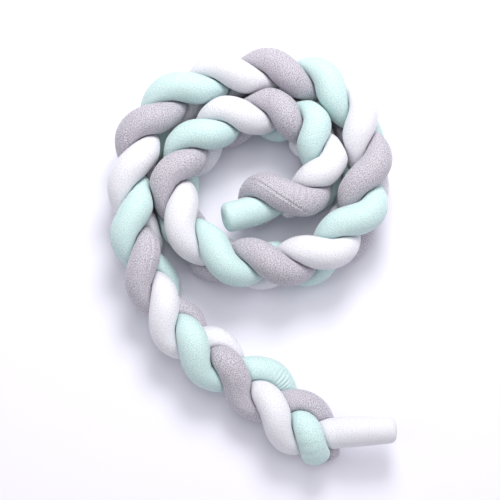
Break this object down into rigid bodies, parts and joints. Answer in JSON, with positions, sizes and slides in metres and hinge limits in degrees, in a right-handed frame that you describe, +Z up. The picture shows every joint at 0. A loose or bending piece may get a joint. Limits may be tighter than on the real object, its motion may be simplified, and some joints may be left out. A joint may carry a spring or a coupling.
{
  "type": "braided crib bumper",
  "caption": "Long braided crib bumper of stuffed velvet tubes, standing on its edge in a loose inward spiral, with one end run off as a leaning tail.",
  "frame": {"origin": "on the floor, under the middle of the whole coil and tail", "axes": "+Z up from the floor; the tail runs off towards -Y; +X to the right when the tail is nearest the viewer"},
  "size_m": [0.4588, 0.679, 0.1172],
  "materials": {
    "velvet_mint": "short-pile velvet, pale mint, soft sheen",
    "velvet_grey": "short-pile velvet, lavender grey, mottled",
    "velvet_white": "short-pile velvet, white, soft sheen"
  },
  "bodies": {
    "root": {"tube_mint": "velvet_mint", "tube_grey": "velvet_grey", "tube_white": "velvet_white"}
  },
  "joints": []
}
